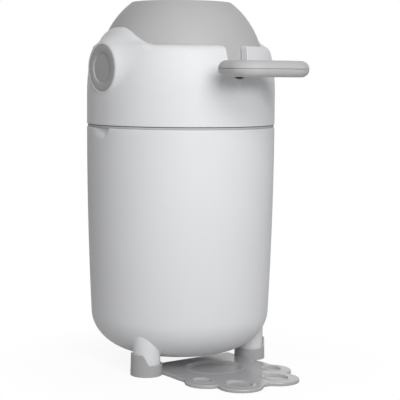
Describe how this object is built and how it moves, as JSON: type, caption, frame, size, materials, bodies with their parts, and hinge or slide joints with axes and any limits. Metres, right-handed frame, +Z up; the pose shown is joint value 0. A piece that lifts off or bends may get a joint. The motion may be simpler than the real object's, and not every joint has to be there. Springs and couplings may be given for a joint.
{
  "type": "nappy bin",
  "caption": "Barrel-shaped nappy bin on feet with a paw-shaped foot rest, hinged head, and a flip-over ball with ring handle and piston.",
  "frame": {"origin": "centre of the bin's footprint on the floor, on the underside of the foot plate, 40.75 mm in front of the barrel's axis", "axes": "+Z up along the barrel's axis, -Y to the front where the handle and the foot rest point, +X to the right eye seen from behind"},
  "size_m": [0.281, 0.3885, 0.5382],
  "materials": {
    "white_shell": "fine satin moulded",
    "grey_plastic": "fine satin moulded",
    "dark_grey_plastic": "satin moulded",
    "soft_seal": "matt",
    "steel": "plain zinc plated"
  },
  "bodies": {
    "bin": {"body_shell": "white_shell", "foot_plate": "grey_plastic", "rear_boot": "grey_plastic", "bag_ring": "white_shell", "bag_band": "soft_seal", "hinge_pin": "steel"},
    "head": {"head_shell": "white_shell", "head_liner": "white_shell", "liner_screws": "steel", "ball_seal": "soft_seal", "head_gasket": "soft_seal", "pivot_bush_left": "dark_grey_plastic", "pivot_bush_right": "dark_grey_plastic", "eye_cap_left": "dark_grey_plastic", "eye_cap_right": "dark_grey_plastic"},
    "ball": {"ball_upper": "grey_plastic", "ball_lower": "grey_plastic", "ball_screws": "steel", "chamber_tube": "white_shell", "pivot_pin_left": "dark_grey_plastic", "pivot_pin_right": "dark_grey_plastic"},
    "piston": {"piston_upper": "white_shell", "piston_lower": "white_shell", "piston_seals": "soft_seal"}
  },
  "joints": [
    {"name": "head_hinge", "type": "hinge", "parent": "bin", "child": "head", "pos_m": [0, 0.18825, 0.3571], "axis": [-1, 0, 0], "range_deg": [0, 95]},
    {"name": "ball_flip", "type": "hinge", "parent": "head", "child": "ball", "pos_m": [0, 0.04075, 0.4407], "axis": [-1, 0, 0], "range_deg": [0, 180]},
    {"name": "piston_slide", "type": "slide", "parent": "ball", "child": "piston", "axis": [0, 0, 1], "range_m": [0, 0.162]}
  ]
}
